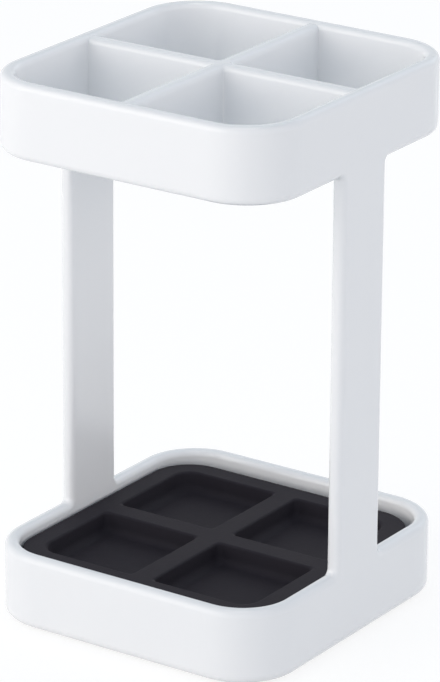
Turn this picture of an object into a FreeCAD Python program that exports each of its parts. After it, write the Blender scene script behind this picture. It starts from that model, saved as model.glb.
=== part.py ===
import FreeCAD, Part
import math
import os
import Sketcher

# A free-standing toothbrush stand: one glossy white moulding, a floor pressed in
# from below, four soft feet and a black silicone drip mat that lifts out.
# The frame: +Z up, the table at Z = 0, the middle of the stand on the Z axis,
# the open windows facing -Y and +Y and the two posts on the -X and +X sides.

os.makedirs("parts", exist_ok=True)
doc = FreeCAD.newDocument("toothbrush_stand")

# Driving dimensions in millimetres, angles in degrees.
SIZES = {
    # the moulding
    "width": 80.0,
    "depth": 83.4,
    "height": 135.0,
    "corner_radius": 15.0,
    "wall": 3.6,
    "lower_band": 18.5,
    "upper_band": 18.4,
    "post_width": 18.2,
    "window_corner": 1.2,
    "window_round": 1.8,
    "window_inner_round": 1.5,
    "bottom_round": 2.2,
    "rim_round": 1.6,
    "rim_inner_round": 1.5,
    # the four cells of the upper band
    "divider": 4.0,
    "divider_rise": 2.6,
    "divider_drop": 0.4,
    "divider_corner": 0.5,
    "divider_round": 1.5,
    # the floor in its rebate
    "rebate": 0.9,
    "plate_thickness": 2.4,
    "plate_inset": 0.2,
    "plate_clearance": 0.15,
    "plate_round": 0.4,
    # the feet
    "foot_diameter": 9.0,
    "foot_reach": 0.6,
    "foot_recess": 0.8,
    "foot_clearance": 0.15,
    "foot_inset": 12.0,
    "foot_round": 0.4,
    # the drip mat
    "mat_gap": 0.5,
    "mat_back_gap": 3.0,
    "mat_drop": 2.2,
    "mat_round": 0.8,
    "skirt": 3.0,
    "cup_depth": 4.8,
    "cup_floor": 1.8,
    "cup_border": 5.9,
    "cup_rib": 5.9,
    "cup_corner": 5.0,
    "cup_inner_corner": 1.4,
    "cup_draft": 8.0,
    "cup_round": 0.5,
    "cup_floor_round": 0.6,
    # how far a cut runs past the face that it opens
    "overrun": 1.0,
}

sheet = doc.addObject("Spreadsheet::Sheet", "Sizes")
for row, (alias, number) in enumerate(SIZES.items(), start=1):
    sheet.set(f"A{row}", alias)
    sheet.set(f"B{row}", str(number))
    sheet.setAlias(f"B{row}", alias)
doc.recompute()


class Length:
    """A size: its value now, and the sheet expression that keeps it bound."""

    def __init__(self, value, text):
        self.value = value
        self.text = text

    def joined(self, sign, other, value):
        other_text = other.text if isinstance(other, Length) else str(other)
        return Length(value, f"({self.text} {sign} {other_text})")

    def __add__(self, other):
        return self.joined("+", other, self.value + other.value)

    def __sub__(self, other):
        return self.joined("-", other, self.value - other.value)

    def __mul__(self, share):
        return self.joined("*", share, self.value * share)

    def __truediv__(self, share):
        return self.joined("/", share, self.value / share)

    def at_most(self, other):
        return Length(min(self.value, other.value), f"min({self.text}; {other.text})")


def size(alias):
    return Length(float(sheet.get(alias)), f"Sizes.{alias}")


# Levels and half sizes that several pieces share.
wall = size("wall")
half_x = size("width") / 2
half_y = size("depth") / 2
inner_x = half_x - wall
inner_y = half_y - wall
corner = size("corner_radius")
inner_corner = corner - wall
bottom = size("foot_reach")
rim = bottom + size("lower_band")
top = size("height")
window_top = top - size("upper_band")
overrun = size("overrun")
plate_bottom = bottom + size("plate_inset")
plate_top = plate_bottom + size("plate_thickness")


def new_body(label):
    body = doc.addObject("PartDesign::Body", label)
    body.Label = label
    return body


def new_sketch(body, name, level=None):
    """A sketch parallel to the body's XY plane, at the given level."""
    plane = next(item for item in body.Origin.OriginFeatures if item.Role == "XY_Plane")
    sketch = body.newObject("Sketcher::SketchObject", name)
    sketch.AttachmentSupport = [(plane, "")]
    sketch.MapMode = "FlatFace"
    if level is not None:
        sketch.setExpression("AttachmentOffset.Base.z", level.text)
    return sketch


def bind(sketch, constraint, length):
    index = sketch.addConstraint(constraint)
    sketch.setExpression(f"Constraints[{index}]", length.text)


def place_point(sketch, kind, geometry, point, sign, length):
    """Hold a point at a signed distance from the sketch's origin along one axis."""
    origin = (-1, 1)
    ends = origin + (geometry, point) if sign > 0 else (geometry, point) + origin
    bind(sketch, Sketcher.Constraint(kind, *ends, length.value), length)


def add_outline(sketch, low_x, high_x, low_y, high_y, radii):
    """A closed outline of four sides and four corner arcs.

    Each side is a (sign, Length) pair that gives its place from the origin.
    The radii are those of the corners at low x low y, high x low y,
    high x high y and low x high y.
    """
    x0, x1, y0, y1 = (sign * length.value for sign, length in (low_x, high_x, low_y, high_y))
    r0, r1, r2, r3 = (radius.value for radius in radii)
    vector = FreeCAD.Vector
    axis = vector(0, 0, 1)
    quarter = math.pi / 2

    def arc(x, y, radius, start):
        circle = Part.Circle(vector(x, y, 0), axis, radius)
        return Part.ArcOfCircle(circle, start * quarter, (start + 1) * quarter)

    pieces = [
        Part.LineSegment(vector(x0 + r0, y0, 0), vector(x1 - r1, y0, 0)),
        arc(x1 - r1, y0 + r1, r1, 3),
        Part.LineSegment(vector(x1, y0 + r1, 0), vector(x1, y1 - r2, 0)),
        arc(x1 - r2, y1 - r2, r2, 0),
        Part.LineSegment(vector(x1 - r2, y1, 0), vector(x0 + r3, y1, 0)),
        arc(x0 + r3, y1 - r3, r3, 1),
        Part.LineSegment(vector(x0, y1 - r3, 0), vector(x0, y0 + r0, 0)),
        arc(x0 + r0, y0 + r0, r0, 2),
    ]
    ring = [sketch.addGeometry(piece, False) for piece in pieces]
    low, arc_1, right, arc_2, high, arc_3, left, arc_0 = ring
    for this, following in zip(ring, ring[1:] + ring[:1]):
        sketch.addConstraint(Sketcher.Constraint("Tangent", this, 2, following, 1))
    for line in (low, high):
        sketch.addConstraint(Sketcher.Constraint("Horizontal", line))
    for line in (left, right):
        sketch.addConstraint(Sketcher.Constraint("Vertical", line))
    place_point(sketch, "DistanceX", left, 1, *low_x)
    place_point(sketch, "DistanceX", right, 1, *high_x)
    place_point(sketch, "DistanceY", low, 1, *low_y)
    place_point(sketch, "DistanceY", high, 1, *high_y)
    for arc_index, radius in zip((arc_0, arc_1, arc_2, arc_3), radii):
        bind(sketch, Sketcher.Constraint("Radius", arc_index, radius.value), radius)


def add_centred_outline(sketch, across, along, radius):
    add_outline(sketch, (-1, across), (1, across), (-1, along), (1, along), [radius] * 4)


def add_quarter_outlines(sketch, near_x, far_x, near_y, far_y, near_radius, far_radius):
    """Four outlines, one in each quarter of the plan, mirror images of each other.

    The corner farthest from the origin has the far radius and the rest the near one.
    """
    for sign_x, sign_y in ((-1, -1), (1, -1), (1, 1), (-1, 1)):
        sides_x = [(sign_x, near_x), (sign_x, far_x)][::sign_x]
        sides_y = [(sign_y, near_y), (sign_y, far_y)][::sign_y]
        corners = ((-1, -1), (1, -1), (1, 1), (-1, 1))
        radii = [far_radius if place == (sign_x, sign_y) else near_radius for place in corners]
        add_outline(sketch, *sides_x, *sides_y, radii)


def add_cross(sketch, half_width, reach_x, reach_y):
    """A plus sign about the origin, with bars of one width."""
    corners = []
    for sign_x, sign_y in ((1, 1), (-1, 1), (-1, -1), (1, -1)):
        tip_x = ((sign_x, reach_x), (sign_y, half_width))
        tip_y = ((sign_x, half_width), (sign_y, reach_y))
        notch = ((sign_x, half_width), (sign_y, half_width))
        corners += [tip_x, notch, tip_y] if sign_x == sign_y else [tip_y, notch, tip_x]
    points = [FreeCAD.Vector(x[0] * x[1].value, y[0] * y[1].value, 0) for x, y in corners]
    ring = zip(points, points[1:] + points[:1])
    lines = [sketch.addGeometry(Part.LineSegment(start, end), False) for start, end in ring]
    for this, following in zip(lines, lines[1:] + lines[:1]):
        sketch.addConstraint(Sketcher.Constraint("Coincident", this, 2, following, 1))
    for line, (x, y) in zip(lines, corners):
        place_point(sketch, "DistanceX", line, 1, *x)
        place_point(sketch, "DistanceY", line, 1, *y)


def add_circle(sketch, signs, across, along, diameter):
    sign_x, sign_y = signs
    centre = FreeCAD.Vector(sign_x * across.value, sign_y * along.value, 0)
    circle = sketch.addGeometry(Part.Circle(centre, FreeCAD.Vector(0, 0, 1), diameter.value / 2), False)
    place_point(sketch, "DistanceX", circle, 3, sign_x, across)
    place_point(sketch, "DistanceY", circle, 3, sign_y, along)
    bind(sketch, Sketcher.Constraint("Diameter", circle, diameter.value), diameter)


def add_feature(body, kind, name, sketch, length, **settings):
    """A pad or pocket of the sketch; the solid has to grow or shrink as its kind says."""
    before = body.Shape.Volume if body.Tip else 0
    feature = body.newObject(f"PartDesign::{kind}", name)
    feature.Profile = sketch
    feature.Refine = True
    feature.setExpression("Length", length.text)
    for setting, value in settings.items():
        setattr(feature, setting, value)
    doc.recompute()
    grown = body.Shape.Volume > before
    if grown != (kind == "Pad"):
        raise ValueError(f"{name} changed the solid the wrong way")
    return feature


def add_fillet(body, name, radius, chosen):
    """Round every edge of the body whose points all satisfy the test."""
    base = body.Tip
    names = []
    for number, edge in enumerate(base.Shape.Edges, start=1):
        if all(chosen(point) for point in edge.discretize(Number=5)):
            names.append(f"Edge{number}")
    if not names:
        raise ValueError(f"{name} found no edges")
    fillet = body.newObject("PartDesign::Fillet", name)
    fillet.Base = (base, names)
    fillet.setExpression("Radius", radius.text)
    doc.recompute()
    return fillet


# Two places are the same when they are closer than this share of the wall.
same_place_share = 0.01
same_place = wall.value * same_place_share


def near(first, second):
    return abs(first - second) < same_place


def on_outline(point, across, along, radius):
    """True for a point on the upright sides of a rounded rectangle."""
    past_x = abs(point.x) - (across.value - radius.value)
    past_y = abs(point.y) - (along.value - radius.value)
    if past_x > 0 and past_y > 0:
        return near(math.hypot(past_x, past_y), radius.value)
    return near(max(past_x, past_y), radius.value)


def in_window(point):
    return rim.value - same_place < point.z < window_top.value + same_place


# The stand body: two equal bands of a rounded square tube, carried on two posts
# that are flush with the tube's inner and outer faces. It is one moulding.
stand = new_body("stand_body")

lower_plan = new_sketch(stand, "lower_band_plan", bottom)
add_centred_outline(lower_plan, half_x, half_y, corner)
add_feature(stand, "Pad", "lower_band", lower_plan, size("lower_band"))

post_plan = new_sketch(stand, "post_plan", rim)
post_reach = size("post_width") / 2
for side in (-1, 1):
    outline = [
        FreeCAD.Vector(side * inner_x.value, -post_reach.value, 0),
        FreeCAD.Vector(side * half_x.value, -post_reach.value, 0),
        FreeCAD.Vector(side * half_x.value, post_reach.value, 0),
        FreeCAD.Vector(side * inner_x.value, post_reach.value, 0),
    ]
    lines = [
        post_plan.addGeometry(Part.LineSegment(start, end), False)
        for start, end in zip(outline, outline[1:] + outline[:1])
    ]
    front, outside, back, inside = lines
    for this, following in zip(lines, lines[1:] + lines[:1]):
        post_plan.addConstraint(Sketcher.Constraint("Coincident", this, 2, following, 1))
    for line in (front, back):
        post_plan.addConstraint(Sketcher.Constraint("Horizontal", line))
    for line in (outside, inside):
        post_plan.addConstraint(Sketcher.Constraint("Vertical", line))
    place_point(post_plan, "DistanceX", inside, 1, side, inner_x)
    place_point(post_plan, "DistanceX", outside, 1, side, half_x)
    place_point(post_plan, "DistanceY", front, 1, -1, post_reach)
    place_point(post_plan, "DistanceY", back, 1, 1, post_reach)
add_feature(stand, "Pad", "posts", post_plan, window_top - rim)

upper_plan = new_sketch(stand, "upper_band_plan", window_top)
add_centred_outline(upper_plan, half_x, half_y, corner)
add_feature(stand, "Pad", "upper_band", upper_plan, size("upper_band"))

# The lower band is open right through, and wider at its foot for the floor.
tray_plan = new_sketch(stand, "tray_plan", rim)
add_centred_outline(tray_plan, inner_x, inner_y, inner_corner)
add_feature(stand, "Pocket", "tray", tray_plan, size("lower_band") + overrun)

rebate = size("rebate")
rebate_plan = new_sketch(stand, "rebate_plan", plate_top)
add_centred_outline(rebate_plan, inner_x + rebate, inner_y + rebate, inner_corner + rebate)
add_feature(stand, "Pocket", "rebate", rebate_plan, plate_top - bottom + overrun)

# The upper band is open right through too.
holder_plan = new_sketch(stand, "holder_plan", top)
add_centred_outline(holder_plan, inner_x, inner_y, inner_corner)
add_feature(stand, "Pocket", "holder", holder_plan, size("upper_band") + overrun)

# The windows' corners are rounded first, so that each window's edge, outside
# and inside, is one smooth loop that a single round can follow. The rounds on
# the two sides of a wall never take up more than these shares of it.
outer_round_share = 0.52
inner_round_share = 0.44
outer_limit = wall * outer_round_share
inner_limit = wall * inner_round_share
bottom_round_share = 0.85
bottom_limit = (wall - rebate) * bottom_round_share


def at_post_end(point):
    level = near(point.z, rim.value) or near(point.z, window_top.value)
    return level and near(abs(point.y), post_reach.value) and abs(point.x) > inner_x.value - same_place


add_fillet(stand, "window_corners", size("window_corner"), at_post_end)
add_fillet(stand, "window_edges", size("window_round").at_most(outer_limit),
           lambda point: in_window(point) and on_outline(point, half_x, half_y, corner))
add_fillet(stand, "window_inner_edges", size("window_inner_round").at_most(inner_limit),
           lambda point: in_window(point) and on_outline(point, inner_x, inner_y, inner_corner))
add_fillet(stand, "bottom_edge", size("bottom_round").at_most(bottom_limit),
           lambda point: near(point.z, bottom.value) and on_outline(point, half_x, half_y, corner))
add_fillet(stand, "rim_edge", size("rim_round").at_most(outer_limit),
           lambda point: near(point.z, top.value) and on_outline(point, half_x, half_y, corner))
add_fillet(stand, "rim_inner_edge", size("rim_inner_round").at_most(inner_limit),
           lambda point: near(point.z, top.value) and on_outline(point, inner_x, inner_y, inner_corner))

# A cross of dividers parts the holder into four cells. It is part of the same
# moulding, with a rounded crest a little below the rim, and it stops short of
# the underside, so that the band's rim and its lip run round unbroken.
divider_foot = window_top + size("divider_rise")
crest = top - size("divider_drop")
half_divider = size("divider") / 2
wall_middle_share = 0.5
divider_end_x = inner_x + wall * wall_middle_share
divider_end_y = inner_y + wall * wall_middle_share
dividers = new_body("dividers")
divider_plan = new_sketch(dividers, "divider_plan", divider_foot)
add_cross(divider_plan, half_divider, divider_end_x, divider_end_y)
add_feature(dividers, "Pad", "cross", divider_plan, crest - divider_foot)


def beside_cross(point):
    return near(abs(point.x), half_divider.value) or near(abs(point.y), half_divider.value)


def at_cross_corner(point):
    return near(abs(point.x), half_divider.value) and near(abs(point.y), half_divider.value)


def on_crest_edge(point):
    turn = half_divider.value + size("divider_corner").value + same_place
    at_turn = max(abs(point.x), abs(point.y)) < turn
    return near(point.z, crest.value) and (at_turn or beside_cross(point))


divider_limit = size("divider") * inner_round_share
add_fillet(dividers, "cross_corners", size("divider_corner"), at_cross_corner)
add_fillet(dividers, "crest_edges", size("divider_round").at_most(divider_limit), on_crest_edge)
joined = stand.newObject("PartDesign::Boolean", "holder_cells")
joined.Type = "Fuse"
joined.setObjects([dividers])
doc.recompute()

# The base plate: a flat floor that is pushed up into the rebate against its
# ledge, with four shallow round seats under it for the feet.
plate = new_body("base_plate")
plate_edge = rebate - size("plate_clearance")
plate_plan = new_sketch(plate, "plate_plan", plate_bottom)
add_centred_outline(plate_plan, inner_x + plate_edge, inner_y + plate_edge, inner_corner + plate_edge)
add_feature(plate, "Pad", "plate", plate_plan, size("plate_thickness"))

foot_seat = size("foot_recess")
foot_diameter = size("foot_diameter")
foot_x = inner_x - size("foot_inset")
foot_y = inner_y - size("foot_inset")
FEET = {
    "foot_front_left": (-1, -1),
    "foot_front_right": (1, -1),
    "foot_rear_left": (-1, 1),
    "foot_rear_right": (1, 1),
}
seat_plan = new_sketch(plate, "foot_seat_plan", plate_bottom + foot_seat)
for signs in FEET.values():
    add_circle(seat_plan, signs, foot_x, foot_y, foot_diameter + size("foot_clearance") * 2)
add_feature(plate, "Pocket", "foot_seats", seat_plan, foot_seat + overrun)
add_fillet(plate, "plate_edge", size("plate_round"),
           lambda point: near(point.z, plate_bottom.value)
           and on_outline(point, inner_x + plate_edge, inner_y + plate_edge, inner_corner + plate_edge))

# The feet: soft discs, glued in the seats, that stand a little below the body.
feet = []
foot_height = plate_bottom + foot_seat
for label, (sign_x, sign_y) in FEET.items():
    foot = new_body(label)
    foot_plan = new_sketch(foot, f"{label}_plan")
    rim_circle = Part.Circle(FreeCAD.Vector(), FreeCAD.Vector(0, 0, 1), foot_diameter.value / 2)
    disc = foot_plan.addGeometry(rim_circle, False)
    foot_plan.addConstraint(Sketcher.Constraint("Coincident", disc, 3, -1, 1))
    bind(foot_plan, Sketcher.Constraint("Diameter", disc, foot_diameter.value), foot_diameter)
    add_feature(foot, "Pad", f"{label}_disc", foot_plan, foot_height)
    add_fillet(foot, f"{label}_edge", size("foot_round"), lambda point: near(point.z, 0))
    foot.setExpression("Placement.Base.x", (foot_x * sign_x).text)
    foot.setExpression("Placement.Base.y", (foot_y * sign_y).text)
    feet.append(foot)

# The drip mat: a silicone slab with a skirt that stands on the floor and four
# shallow cups, one under each cell. It lies against the front of the tray, and
# the gap left at the back takes a finger when the mat is lifted out.
mat = new_body("drip_mat")
mat_gap = size("mat_gap")
mat_back_gap = size("mat_back_gap")
mat_x = inner_x - mat_gap
mat_y = inner_y - (mat_gap + mat_back_gap) / 2
mat_corner = inner_corner - mat_gap
mat_height = rim - size("mat_drop") - plate_top
mat_plan = new_sketch(mat, "mat_plan")
add_centred_outline(mat_plan, mat_x, mat_y, mat_corner)
add_feature(mat, "Pad", "mat_slab", mat_plan, mat_height)

skirt = size("skirt")
skirt_plan = new_sketch(mat, "skirt_plan")
add_centred_outline(skirt_plan, mat_x - skirt, mat_y - skirt, mat_corner - skirt)
slab = size("cup_depth") + size("cup_floor")
add_feature(mat, "Pocket", "mat_hollow", skirt_plan, mat_height - slab, Reversed=True)

cup_border = size("cup_border")
cup_plan = new_sketch(mat, "cup_plan", mat_height)
half_rib = size("cup_rib") / 2
add_quarter_outlines(cup_plan, half_rib, mat_x - cup_border, half_rib, mat_y - cup_border,
                     size("cup_inner_corner"), size("cup_corner"))
cups = add_feature(mat, "Pocket", "cups", cup_plan, size("cup_depth"))
straight_volume = mat.Shape.Volume
cups.setExpression("TaperAngle", f"-{size('cup_draft').text}")
doc.recompute()
if mat.Shape.Volume <= straight_volume:
    raise ValueError("the cups have to narrow towards their floors")

# The draft narrows the cups' corners, so the round at the floor stays well inside them.
floor_round_share = 0.45
floor_limit = size("cup_inner_corner") * floor_round_share
cup_floor_level = mat_height - size("cup_depth")
add_fillet(mat, "cup_floor_edges", size("cup_floor_round").at_most(floor_limit),
           lambda point: near(point.z, cup_floor_level.value))
add_fillet(mat, "cup_edges", size("cup_round"),
           lambda point: near(point.z, mat_height.value) and not on_outline(point, mat_x, mat_y, mat_corner))
add_fillet(mat, "mat_edge", size("mat_round"),
           lambda point: near(point.z, mat_height.value) and on_outline(point, mat_x, mat_y, mat_corner))
mat.setExpression("Placement.Base.y", ((mat_gap - mat_back_gap) / 2).text)
mat.setExpression("Placement.Base.z", plate_top.text)
doc.recompute()

# Nothing is written unless every object is sound.
for item in doc.Objects:
    if "Invalid" in item.State or "Error" in item.State:
        raise ValueError(f"{item.Label} failed: {item.State}")
pieces = [stand, plate, *feet, mat]
for piece in pieces:
    shape = piece.Shape
    if shape.isNull() or not shape.isValid() or len(shape.Solids) != 1:
        raise ValueError(f"{piece.Label} is not one valid solid")
for piece in pieces:
    piece.Shape.exportStep(f"parts/{piece.Label}.step")
    box = piece.Shape.BoundBox
    print(piece.Label, f"{piece.Shape.Volume:.1f} mm3", f"z {box.ZMin:.2f} to {box.ZMax:.2f}")
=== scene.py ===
import math

import bmesh
import bpy
from mathutils import Matrix, Vector


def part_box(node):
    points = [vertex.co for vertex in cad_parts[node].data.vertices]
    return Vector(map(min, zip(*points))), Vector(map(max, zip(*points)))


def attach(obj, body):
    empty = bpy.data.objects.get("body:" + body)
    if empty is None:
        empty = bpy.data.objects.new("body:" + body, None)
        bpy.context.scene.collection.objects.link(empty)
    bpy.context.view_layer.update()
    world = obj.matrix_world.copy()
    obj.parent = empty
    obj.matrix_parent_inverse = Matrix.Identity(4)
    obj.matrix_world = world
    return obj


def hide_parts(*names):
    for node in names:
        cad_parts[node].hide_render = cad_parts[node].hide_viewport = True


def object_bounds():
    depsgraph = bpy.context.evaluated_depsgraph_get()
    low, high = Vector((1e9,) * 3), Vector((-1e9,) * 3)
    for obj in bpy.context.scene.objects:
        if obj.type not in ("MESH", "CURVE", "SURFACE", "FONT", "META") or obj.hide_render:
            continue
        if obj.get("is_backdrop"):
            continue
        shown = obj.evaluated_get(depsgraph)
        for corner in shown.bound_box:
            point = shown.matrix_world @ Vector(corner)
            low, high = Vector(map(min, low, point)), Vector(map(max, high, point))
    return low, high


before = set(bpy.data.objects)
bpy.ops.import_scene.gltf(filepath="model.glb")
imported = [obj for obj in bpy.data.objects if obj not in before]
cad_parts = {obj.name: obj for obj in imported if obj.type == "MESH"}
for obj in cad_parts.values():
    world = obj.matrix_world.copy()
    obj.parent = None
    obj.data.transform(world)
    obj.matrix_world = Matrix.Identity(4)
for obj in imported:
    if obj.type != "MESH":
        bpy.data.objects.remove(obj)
cad_low, cad_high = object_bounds()


# The stand body: one injection moulding in glossy white ABS, two bands of a
# rounded-square tube on two flush posts, with a cross that parts the upper band.
# It is bright and even, with the faint waviness that a polished mould leaves.
body_white = (0.854, 0.868, 0.882, 1.0)
body_white_deep = (0.829, 0.846, 0.865, 1.0)
body_roughness = (0.1, 0.16)
body_ior = 1.5
flow_scale = 22.0
flow_detail = 3.0
skin_scale = 1400.0
skin_detail = 2.0
skin_height = 0.000004


def new_material(name):
    """An empty material, its node tree, and a Principled shader joined to the output."""
    material = bpy.data.materials.new(name)
    material.use_nodes = True
    tree = material.node_tree
    tree.nodes.clear()
    output = tree.nodes.new("ShaderNodeOutputMaterial")
    shader = tree.nodes.new("ShaderNodeBsdfPrincipled")
    tree.links.new(shader.outputs["BSDF"], output.inputs["Surface"])
    return material, tree, shader


def build_moulded_skin():
    """The skin that a mould leaves: a slow cloudiness from the flow and a fine grain."""
    group = bpy.data.node_groups.new("moulded_skin", "ShaderNodeTree")
    for name, kind in (("Place", "NodeSocketVector"), ("Flow Scale", "NodeSocketFloat"),
                       ("Skin Scale", "NodeSocketFloat")):
        group.interface.new_socket(name, in_out="INPUT", socket_type=kind)
    for name in ("Flow", "Skin"):
        group.interface.new_socket(name, in_out="OUTPUT", socket_type="NodeSocketFloat")
    taken = group.nodes.new("NodeGroupInput")
    given = group.nodes.new("NodeGroupOutput")
    for scale, result, detail in (("Flow Scale", "Flow", flow_detail),
                                  ("Skin Scale", "Skin", skin_detail)):
        noise = group.nodes.new("ShaderNodeTexNoise")
        noise.inputs["Detail"].default_value = detail
        group.links.new(taken.outputs["Place"], noise.inputs["Vector"])
        group.links.new(taken.outputs[scale], noise.inputs["Scale"])
        group.links.new(noise.outputs["Fac"], given.inputs[result])
    return group


moulded_skin = build_moulded_skin()


def add_moulded_skin(tree, shader, colours, roughness, flow_scale, skin_scale, skin_height):
    """Colour, roughness and relief of a moulded surface, on the shader of one material."""
    place = tree.nodes.new("ShaderNodeTexCoord")
    skin = tree.nodes.new("ShaderNodeGroup")
    skin.node_tree = moulded_skin
    skin.inputs["Flow Scale"].default_value = flow_scale
    skin.inputs["Skin Scale"].default_value = skin_scale
    tree.links.new(place.outputs["Object"], skin.inputs["Place"])

    tint = tree.nodes.new("ShaderNodeMix")
    tint.data_type = "RGBA"
    tint.inputs["A"].default_value, tint.inputs["B"].default_value = colours
    tree.links.new(skin.outputs["Flow"], tint.inputs["Factor"])
    tree.links.new(tint.outputs["Result"], shader.inputs["Base Color"])

    gloss = tree.nodes.new("ShaderNodeMapRange")
    gloss.inputs["To Min"].default_value, gloss.inputs["To Max"].default_value = roughness
    tree.links.new(skin.outputs["Flow"], gloss.inputs["Value"])
    tree.links.new(gloss.outputs["Result"], shader.inputs["Roughness"])

    relief = tree.nodes.new("ShaderNodeBump")
    relief.inputs["Distance"].default_value = skin_height
    tree.links.new(skin.outputs["Skin"], relief.inputs["Height"])
    tree.links.new(relief.outputs["Normal"], shader.inputs["Normal"])


def dress(node, material):
    """Give a CAD node its finish."""
    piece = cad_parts[node]
    piece.data.materials.clear()
    piece.data.materials.append(material)


white_gloss, tree, shader = new_material("white_gloss_plastic")
shader.inputs["IOR"].default_value = body_ior
add_moulded_skin(tree, shader, (body_white, body_white_deep), body_roughness,
                 flow_scale, skin_scale, skin_height)
dress("stand_body", white_gloss)


# The base plate: the tray's floor, a flat plate of the same white plastic with
# a satin face, pushed up into a rebate under the lower band and welded there.
plate_white = (0.83, 0.838, 0.85, 1.0)
plate_white_deep = (0.80, 0.81, 0.825, 1.0)
plate_roughness = (0.42, 0.55)
plate_ior = 1.5
plate_skin_scale = 2600.0
plate_skin_height = 0.00002

white_satin, tree, shader = new_material("white_satin_plastic")
shader.inputs["IOR"].default_value = plate_ior
add_moulded_skin(tree, shader, (plate_white, plate_white_deep), plate_roughness,
                 flow_scale, plate_skin_scale, plate_skin_height)
dress("base_plate", white_satin)


# The feet: four soft discs of milky elastomer, glued into round seats under the
# base plate, that keep the stand from sliding on a wet basin.
foot_milk = (0.66, 0.67, 0.68, 1.0)
foot_milk_deep = (0.56, 0.57, 0.585, 1.0)
foot_roughness = (0.45, 0.62)
foot_ior = 1.43
foot_flow_scale = 180.0
foot_skin_scale = 3000.0
foot_skin_height = 0.00003

foot_rubber, tree, shader = new_material("clear_foot_rubber")
shader.inputs["IOR"].default_value = foot_ior
add_moulded_skin(tree, shader, (foot_milk, foot_milk_deep), foot_roughness,
                 foot_flow_scale, foot_skin_scale, foot_skin_height)
for node in ("foot_front_left", "foot_front_right", "foot_rear_left", "foot_rear_right"):
    dress(node, foot_rubber)


# The drip mat: black silicone, moulded with four shallow cups, one under each
# cell, and hollow below, so that it stands on a skirt round its edge. It is soft,
# its edges rounded and its cups' corners widening downwards, and lies loose in the tray.
mat_low, mat_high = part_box("drip_mat")
mat_corner = 0.0109
mat_corner_growth = -1
mat_edge_round = 0.0009
skirt = 0.003
skirt_round = 0.0004
slab = 0.0066
hollow_round = 0.0012
cup_depth = 0.0048
cup_border = 0.0059
cup_rib = 0.0059
cup_outer_corner = 0.005
cup_inner_corner = 0.0014
cup_corner_growth = 0.7
cup_draft = math.radians(8)
cup_lip_round = 0.0006
cup_floor_round = 0.0022
flat_margin = 0.0002
corner_steps = 12
round_steps = 8
quarters = ((-1, -1), (1, -1), (1, 1), (-1, 1))
silicone_black = (0.0122, 0.0106, 0.0165, 1.0)
silicone_dusty = (0.0152, 0.0136, 0.0205, 1.0)
silicone_roughness = (0.66, 0.78)
silicone_ior = 1.42
silicone_specular = 0.25
silicone_flow_scale = 60.0
silicone_skin_scale = 2200.0
silicone_skin_height = 0.00004


def turn(inset, level, radius, start, end):
    """A round in a mould's profile: points of inset and level from one angle to another."""
    points = []
    for step in range(round_steps + 1):
        angle = math.radians(start + (end - start) * step / round_steps)
        points.append((inset + radius * math.cos(angle), level + radius * math.sin(angle)))
    return points


def add_loop(bm, low, high, corners, growth, inset, level):
    """A level ring round a rectangle, drawn in by an inset. Its corners grow with the inset,
    and a growth of -1 keeps them on one centre."""
    ring = []
    for quarter, ((sign_x, sign_y), corner) in enumerate(zip(quarters, corners)):
        radius = corner + growth * inset
        centre_x = (low[0] if sign_x < 0 else high[0]) - sign_x * (inset + radius)
        centre_y = (low[1] if sign_y < 0 else high[1]) - sign_y * (inset + radius)
        for step in range(corner_steps + 1):
            angle = math.pi / 2 * (quarter + 2 + step / corner_steps)
            ring.append(bm.verts.new((centre_x + radius * math.cos(angle),
                                      centre_y + radius * math.sin(angle), level)))
    return ring


def add_wall(bm, low, high, corners, growth, profile):
    """The skin that a profile sweeps round a rounded rectangle; gives its first and last ring."""
    rings = [add_loop(bm, low, high, corners, growth, inset, level) for inset, level in profile]
    for ring, following in zip(rings, rings[1:]):
        for point in range(len(ring)):
            bm.faces.new((ring[point - 1], ring[point], following[point], following[point - 1]))
    return rings[0], rings[-1]


def ring_edges(bm, ring):
    """The edges between a ring's neighbouring points."""
    return [bm.edges.get((ring[point - 1], ring[point])) for point in range(len(ring))]


bm = bmesh.new()
mat_top = mat_high.z
hollow_top = mat_top - slab
shell = [(skirt + hollow_round + flat_margin, hollow_top)]
shell += turn(skirt + hollow_round, hollow_top - hollow_round, hollow_round, 90, 180)
shell += turn(skirt - skirt_round, mat_low.z + skirt_round, skirt_round, 0, -90)
shell += turn(skirt_round, mat_low.z + skirt_round, skirt_round, -90, -180)
shell += turn(mat_edge_round, mat_top - mat_edge_round, mat_edge_round, 180, 90)
shell += [(mat_edge_round + flat_margin, mat_top)]
mat_corners = [mat_corner] * len(quarters)
hollow_ring, top_ring = add_wall(bm, mat_low, mat_high, mat_corners, mat_corner_growth, shell)
bm.faces.new(hollow_ring)
top_edges = ring_edges(bm, top_ring)

lean = math.sin(cup_draft)
draft = math.degrees(cup_draft)
lip_inset = cup_lip_round * (lean - 1) / math.cos(cup_draft)
floor_inset = (cup_floor_round + (cup_depth - cup_floor_round) * lean) / math.cos(cup_draft)
cup = [(lip_inset - flat_margin, mat_top)]
cup += turn(lip_inset, mat_top - cup_lip_round, cup_lip_round, 90, draft)
cup += turn(floor_inset, mat_top - cup_depth + cup_floor_round, cup_floor_round, 180 + draft, 270)
cup += [(floor_inset + flat_margin, mat_top - cup_depth)]
middle = (mat_low + mat_high) / 2
for sign_x, sign_y in quarters:
    near_x, near_y = middle.x + sign_x * cup_rib / 2, middle.y + sign_y * cup_rib / 2
    far_x = (mat_low.x if sign_x < 0 else mat_high.x) - sign_x * cup_border
    far_y = (mat_low.y if sign_y < 0 else mat_high.y) - sign_y * cup_border
    low = (min(near_x, far_x), min(near_y, far_y))
    high = (max(near_x, far_x), max(near_y, far_y))
    corners = [cup_outer_corner if quarter == (sign_x, sign_y) else cup_inner_corner
               for quarter in quarters]
    mouth, cup_floor = add_wall(bm, low, high, corners, cup_corner_growth, cup)
    bm.faces.new(cup_floor)
    top_edges += ring_edges(bm, mouth)
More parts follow.
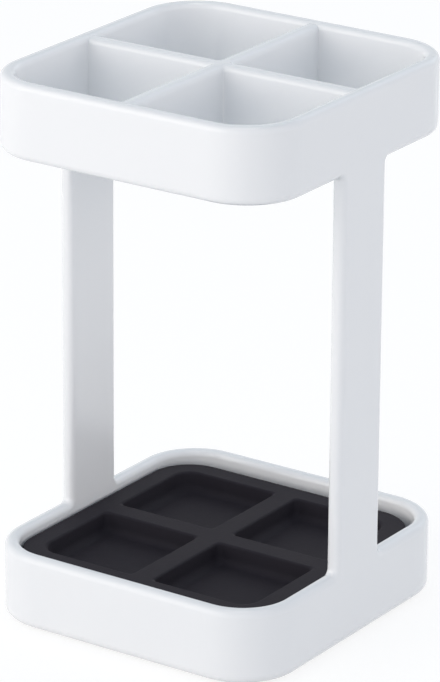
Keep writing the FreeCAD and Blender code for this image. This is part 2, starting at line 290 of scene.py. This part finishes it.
bmesh.ops.triangle_fill(bm, use_beauty=True, edges=top_edges)
bmesh.ops.recalc_face_normals(bm, faces=bm.faces)

mat_mesh = bpy.data.meshes.new("silicone_mat")
bm.to_mesh(mat_mesh)
bm.free()
mat_mesh.shade_smooth()
silicone_mat = bpy.data.objects.new("silicone_mat", mat_mesh)
bpy.context.scene.collection.objects.link(silicone_mat)

black_silicone, tree, shader = new_material("black_silicone")
shader.inputs["IOR"].default_value = silicone_ior
shader.inputs["Specular IOR Level"].default_value = silicone_specular
add_moulded_skin(tree, shader, (silicone_black, silicone_dusty), silicone_roughness,
                 silicone_flow_scale, silicone_skin_scale, silicone_skin_height)
mat_mesh.materials.append(black_silicone)
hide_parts("drip_mat")
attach(silicone_mat, "mat")


# The floor: a plain pale studio floor. To the camera and in reflections it is
# white, and it still takes the stand's soft shadow.
floor_reach = 3.0
floor_glow = 0.81
floor_shadow_white = (0.25, 0.25, 0.25, 1.0)
floor_bounce_white = (0.8, 0.8, 0.8, 1.0)

corners = [(x * floor_reach, y * floor_reach, 0) for x, y in quarters]
floor_mesh = bpy.data.meshes.new("studio_floor")
floor_mesh.from_pydata(corners, [], [(0, 1, 2, 3)])
floor = bpy.data.objects.new("studio_floor", floor_mesh)
bpy.context.scene.collection.objects.link(floor)
floor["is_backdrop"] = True

floor_paint = bpy.data.materials.new("studio_floor")
floor_paint.use_nodes = True
tree = floor_paint.node_tree
tree.nodes.clear()
output = tree.nodes.new("ShaderNodeOutputMaterial")
both = tree.nodes.new("ShaderNodeAddShader")
matt = tree.nodes.new("ShaderNodeBsdfDiffuse")
glow = tree.nodes.new("ShaderNodeEmission")


def seen_ray(tree):
    """1 for a camera, glossy or transmission ray, otherwise 0."""
    path = tree.nodes.new("ShaderNodeLightPath")
    seen = path.outputs["Is Camera Ray"]
    for other in ("Is Glossy Ray", "Is Transmission Ray"):
        either = tree.nodes.new("ShaderNodeMath")
        either.operation = "MAXIMUM"
        tree.links.new(seen, either.inputs[0])
        tree.links.new(path.outputs[other], either.inputs[1])
        seen = either.outputs["Value"]
    return seen


seen = seen_ray(tree)
strength = tree.nodes.new("ShaderNodeMath")
strength.operation = "MULTIPLY"
strength.inputs[1].default_value = floor_glow
tree.links.new(seen, strength.inputs[0])
tree.links.new(strength.outputs["Value"], glow.inputs["Strength"])
paint = tree.nodes.new("ShaderNodeMix")
paint.data_type = "RGBA"
paint.inputs["A"].default_value = floor_bounce_white
paint.inputs["B"].default_value = floor_shadow_white
tree.links.new(seen, paint.inputs["Factor"])
tree.links.new(paint.outputs["Result"], matt.inputs["Color"])
tree.links.new(matt.outputs["BSDF"], both.inputs[0])
tree.links.new(glow.outputs["Emission"], both.inputs[1])
tree.links.new(both.outputs["Shader"], output.inputs["Surface"])
floor_mesh.materials.append(floor_paint)


# The studio: a surround that is bright all round at the level of the stand and
# dim overhead, a soft key light at the front left and weak ones behind and above.
surround_low = (1.87, 1.77, 1.73, 1.0)
surround_high = (0.0, 0.1, 0.2, 1.0)
surround_high_from = 0.9
white = (1.0, 1.0, 1.0, 1.0)
key_place = Vector((-0.43, -0.71, 0.4))
key_size = 0.8
key_power = 2.75
key_warmth = (1.0, 0.94, 0.86)
rear_place = Vector((0.1, 0.9, 0.6))
rear_size = 0.5
rear_power = 0.7
rear_coolness = (0.8, 0.92, 1.0)
top_place = Vector((0, 0, 1.3))
top_size = 0.4
top_power = 1.35
top_warmth = (1.0, 0.94, 0.86)
light_aim = Vector((0, 0, (cad_low.z + cad_high.z) / 2))

world = bpy.data.worlds.new("studio")
world.use_nodes = True
bpy.context.scene.world = world
tree = world.node_tree
tree.nodes.clear()
output = tree.nodes.new("ShaderNodeOutputWorld")
surround = tree.nodes.new("ShaderNodeBackground")
way = tree.nodes.new("ShaderNodeTexCoord")
split = tree.nodes.new("ShaderNodeSeparateXYZ")
climb = tree.nodes.new("ShaderNodeMapRange")
climb.inputs["From Max"].default_value = surround_high_from
fade = tree.nodes.new("ShaderNodeMix")
fade.data_type = "RGBA"
fade.inputs["A"].default_value = surround_low
fade.inputs["B"].default_value = surround_high
shown = tree.nodes.new("ShaderNodeMix")
shown.data_type = "RGBA"
shown.inputs["B"].default_value = white
tree.links.new(way.outputs["Generated"], split.inputs["Vector"])
tree.links.new(split.outputs["Z"], climb.inputs["Value"])
tree.links.new(climb.outputs["Result"], fade.inputs["Factor"])
tree.links.new(fade.outputs["Result"], shown.inputs["A"])
tree.links.new(seen_ray(tree), shown.inputs["Factor"])
tree.links.new(shown.outputs["Result"], surround.inputs["Color"])
tree.links.new(surround.outputs["Background"], output.inputs["Surface"])


def add_softbox(name, place, size, power, colour):
    """A square soft lamp, turned towards the middle of the stand."""
    lamp = bpy.data.lights.new(name, "AREA")
    lamp.shape = "SQUARE"
    lamp.size = size
    lamp.energy = power
    lamp.color = colour
    softbox = bpy.data.objects.new(name, lamp)
    softbox.location = place
    softbox.rotation_euler = (light_aim - place).to_track_quat("-Z", "Y").to_euler()
    bpy.context.scene.collection.objects.link(softbox)


add_softbox("key_softbox", key_place, key_size, key_power, key_warmth)
add_softbox("rear_softbox", rear_place, rear_size, rear_power, rear_coolness)
add_softbox("top_softbox", top_place, top_size, top_power, top_warmth)


# The camera: a long lens from the front right, a little above the stand, turned
# and aimed as the photograph's edges give it. The picture is 440 by 682 pixels.
picture_height_px = 682
focal_px = 4450.8
aim_px_right = 0.54
aim_px_down = 5.41
camera_azimuth = math.radians(34.154)
camera_elevation = math.radians(20.423)
camera_roll = math.radians(0.382)
camera_distance = 1.0478
aim_height = 0.0675

back = Vector((math.sin(camera_azimuth) * math.cos(camera_elevation),
               -math.cos(camera_azimuth) * math.cos(camera_elevation),
               math.sin(camera_elevation)))
level_right = Vector((math.cos(camera_azimuth), math.sin(camera_azimuth), 0))
level_up = back.cross(level_right)
right = level_right * math.cos(camera_roll) + level_up * math.sin(camera_roll)
up = level_up * math.cos(camera_roll) - level_right * math.sin(camera_roll)
metres_per_px = camera_distance / focal_px
place = Vector((0, 0, aim_height)) + back * camera_distance
place += (right * aim_px_right - up * aim_px_down) * metres_per_px

camera_data = bpy.data.cameras.new("photo_camera")
camera_data.lens = focal_px / picture_height_px * camera_data.sensor_width
camera = bpy.data.objects.new("photo_camera", camera_data)
camera.matrix_world = Matrix((
    (right.x, up.x, back.x, place.x),
    (right.y, up.y, back.y, place.y),
    (right.z, up.z, back.z, place.z),
    (0, 0, 0, 1),
))
bpy.context.scene.collection.objects.link(camera)
bpy.context.scene.camera = camera
bpy.context.scene.view_settings.view_transform = "Standard"

low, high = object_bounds()
